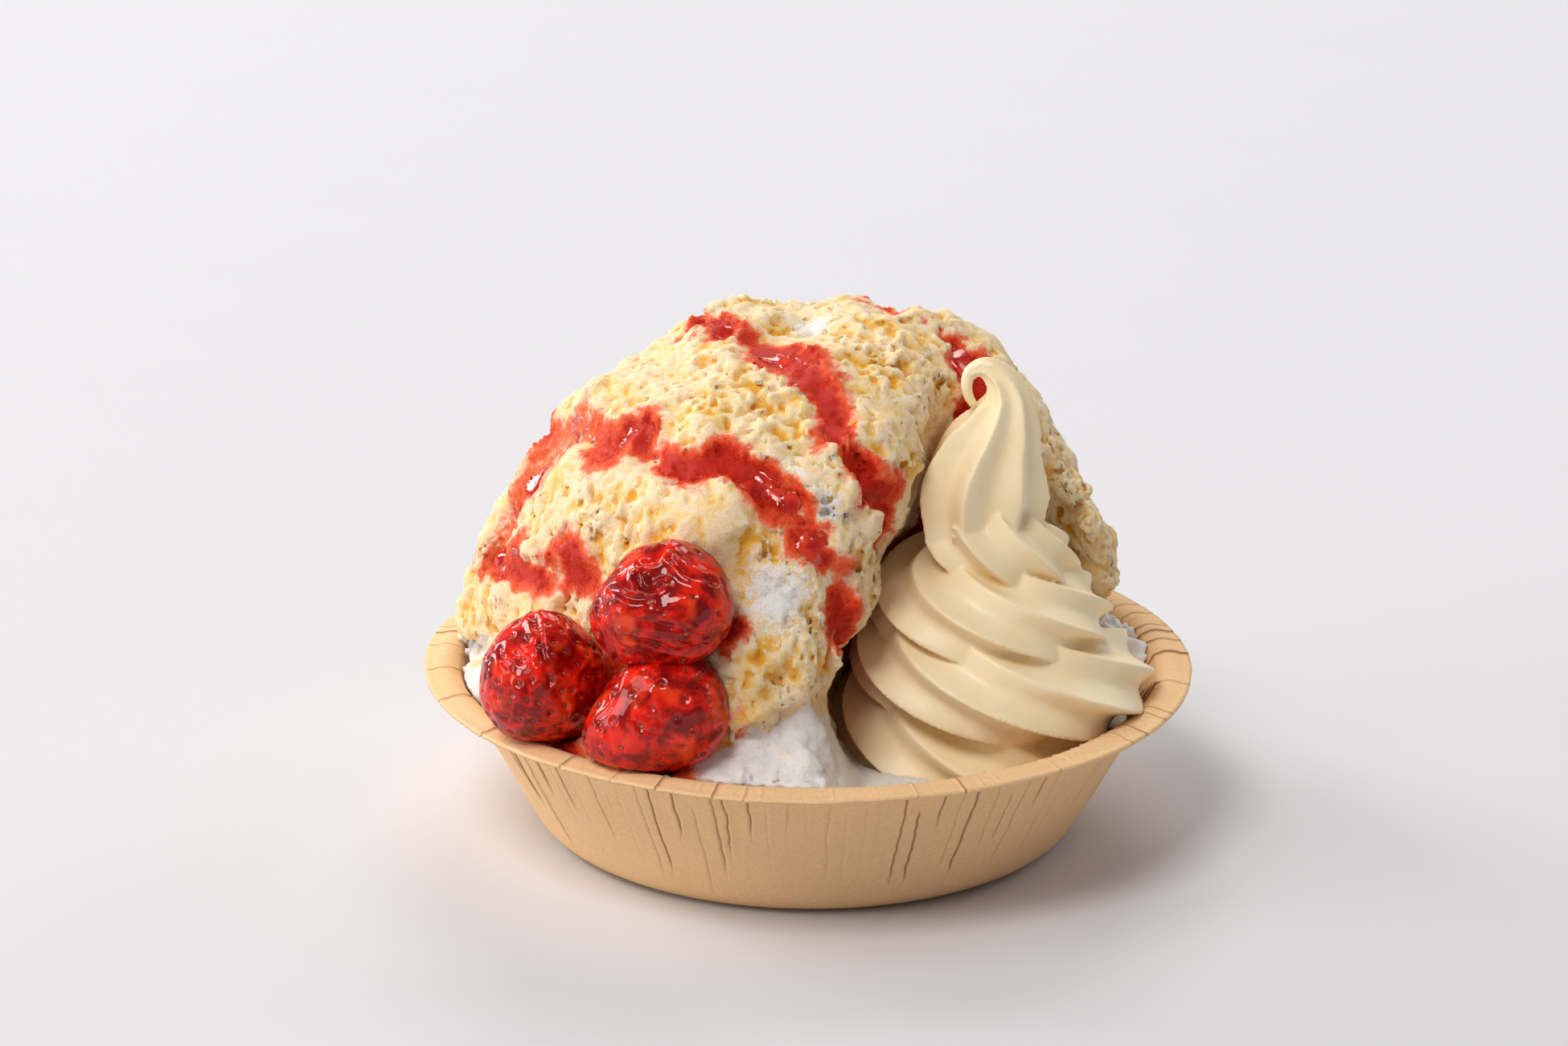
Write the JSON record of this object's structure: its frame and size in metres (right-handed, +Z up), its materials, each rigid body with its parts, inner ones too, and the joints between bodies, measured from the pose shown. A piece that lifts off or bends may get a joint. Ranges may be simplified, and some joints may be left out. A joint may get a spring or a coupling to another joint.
{
  "type": "shaved ice dessert",
  "caption": "Heaped shaved ice with custard syrup and strawberry sauce in a pleated board bowl, with a soft serve swirl and glazed strawberries.",
  "frame": {"origin": "centre of the bowl's foot, on the surface it stands on", "axes": "+Z up; -Y is the side with the strawberries and the soft serve, with the soft serve towards +X"},
  "size_m": [0.165, 0.165, 0.1122],
  "materials": {
    "board": "matt brown board, pressed and pleated",
    "ice": "wet crumbly ice soaked in custard syrup, streaked with red sauce",
    "soft_serve": "smooth, satin",
    "strawberry": "glazed with syrup"
  },
  "bodies": {
    "root": {"bowl": "board", "shaved_ice": "ice", "soft_serve": "soft_serve", "strawberry_top": "strawberry", "strawberry_left": "strawberry", "strawberry_front": "strawberry"}
  },
  "joints": []
}
